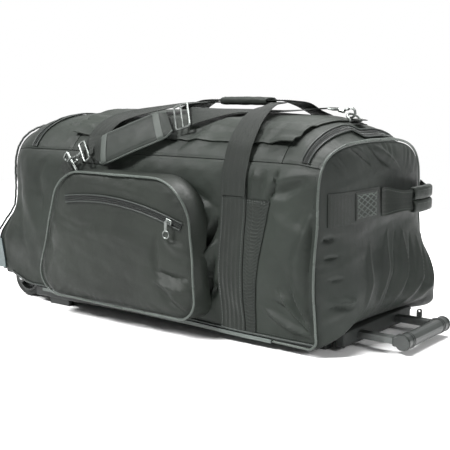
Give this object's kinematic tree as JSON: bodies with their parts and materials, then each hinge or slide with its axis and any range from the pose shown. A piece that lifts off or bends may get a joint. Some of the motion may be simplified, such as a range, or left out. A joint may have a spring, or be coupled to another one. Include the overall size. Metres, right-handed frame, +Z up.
{
  "type": "rolling duffel bag",
  "caption": "Rolling duffel bag with hinged top lid, front pocket, carry and shoulder straps, corner wheels and a telescoping pull handle.",
  "frame": {"origin": "centre of the bounding box at floor level", "axes": "+X towards the pull-handle end, -Y the pocket side, +Z up"},
  "size_m": [0.891, 0.427, 0.4068],
  "materials": {
    "alloy": "dark anodised",
    "axle_steel": "plain",
    "plastic": "moulded",
    "guard_plastic": "glossy",
    "dark_metal": "dark plated",
    "webbing": "woven webbing",
    "nylon": "coated nylon",
    "padded_cover": "padded cover",
    "piping": "vinyl-covered cord",
    "zip_tape": "woven tape with nylon coil",
    "tyre_rubber": "ribbed rubber"
  },
  "bodies": {
    "bag": {"axle_front": "axle_steel", "axle_rear": "axle_steel", "base_tray": "plastic", "corner_guard_front": "guard_plastic", "corner_guard_rear": "guard_plastic", "corner_tab": "plastic", "d_ring": "dark_metal", "d_ring_tab": "webbing", "end_web": "webbing", "exit_bezel": "plastic", "front_handle_loop": "webbing", "front_panel": "nylon", "front_shoulder": "nylon", "front_web_left": "webbing", "front_web_right": "webbing", "grab_handle": "webbing", "grab_wrap": "padded_cover", "handle_end_panel": "nylon", "handle_end_piping": "piping", "handle_end_top": "nylon", "handle_end_zip_track": "zip_tape", "handle_frame": "alloy", "main_zip_track": "zip_tape", "pocket_piping": "piping", "pocket_shell": "nylon", "pocket_zip_track": "zip_tape", "rear_panel": "nylon", "rear_web_left": "webbing", "rear_web_right": "webbing", "ring_tab": "webbing", "shoulder_pad": "padded_cover", "side_web": "webbing", "skid_rail_front": "plastic", "skid_rail_rear": "plastic", "snap_hook_front": "dark_metal", "snap_hook_rear": "dark_metal", "strap_adjuster": "dark_metal", "strap_front": "webbing", "strap_rear": "webbing", "strap_ring": "dark_metal", "wheel_end_panel": "nylon", "wheel_end_piping": "piping", "wheel_end_top": "nylon", "wheel_end_zip_track": "zip_tape", "wheel_housing_front": "plastic", "wheel_housing_rear": "plastic"},
    "lid": {"lid_panel": "nylon", "rear_handle_loop": "webbing", "handle_wrap": "padded_cover"},
    "pull_handle": {"arm_front": "alloy", "arm_rear": "alloy", "grip_bar": "plastic"},
    "trigger": {"release_trigger": "plastic"},
    "wheel_front": {"tyre_front": "tyre_rubber", "wheel_hub_front": "plastic"},
    "wheel_rear": {"tyre_rear": "tyre_rubber", "wheel_hub_rear": "plastic"},
    "main_slider": {"main_zip_slider": "dark_metal"},
    "pocket_slider": {"pocket_zip_slider": "dark_metal"},
    "pocket_pull": {"pocket_zip_pull": "dark_metal"}
  },
  "joints": [
    {"name": "lid_hinge", "type": "hinge", "parent": "bag", "child": "lid", "pos_m": [-0.04606, 0.16038, 0.34129], "axis": [-1, 0, 0], "range_deg": [0, 105], "deforming": ["front_handle_loop", "strap_front", "shoulder_pad", "strap_adjuster", "strap_rear", "snap_hook_rear"]},
    {"name": "handle_slide", "type": "slide", "parent": "bag", "child": "pull_handle", "axis": [1, 0, 0], "range_m": [-0.06, 0.33]},
    {"name": "trigger_press", "type": "slide", "parent": "pull_handle", "child": "trigger", "axis": [1, 0, 0], "range_m": [0, 0.003], "stiffness_N_per_m": 500, "springref_m": -0.002},
    {"name": "wheel_front_spin", "type": "hinge", "parent": "bag", "child": "wheel_front", "pos_m": [-0.37606, -0.11165, 0.04], "axis": [0, 1, 0], "continuous": true},
    {"name": "wheel_rear_spin", "type": "hinge", "parent": "bag", "child": "wheel_rear", "pos_m": [-0.37606, 0.15835, 0.04], "axis": [0, 1, 0], "continuous": true},
    {"name": "main_zip_run", "type": "slide", "parent": "bag", "child": "main_slider", "axis": [-1, 0, 0], "range_m": [0, 0.425]},
    {"name": "pocket_zip_run", "type": "hinge", "parent": "bag", "child": "pocket_slider", "pos_m": [-0.09606, -0.20581, -0.321], "axis": [0, 1, 0], "range_deg": [-23.5, 0]},
    {"name": "pocket_pull_swing", "type": "hinge", "parent": "pocket_slider", "child": "pocket_pull", "pos_m": [0.07182, -0.21221, 0.20333], "axis": [1, 0, 0], "range_deg": [-100, 0]}
  ]
}
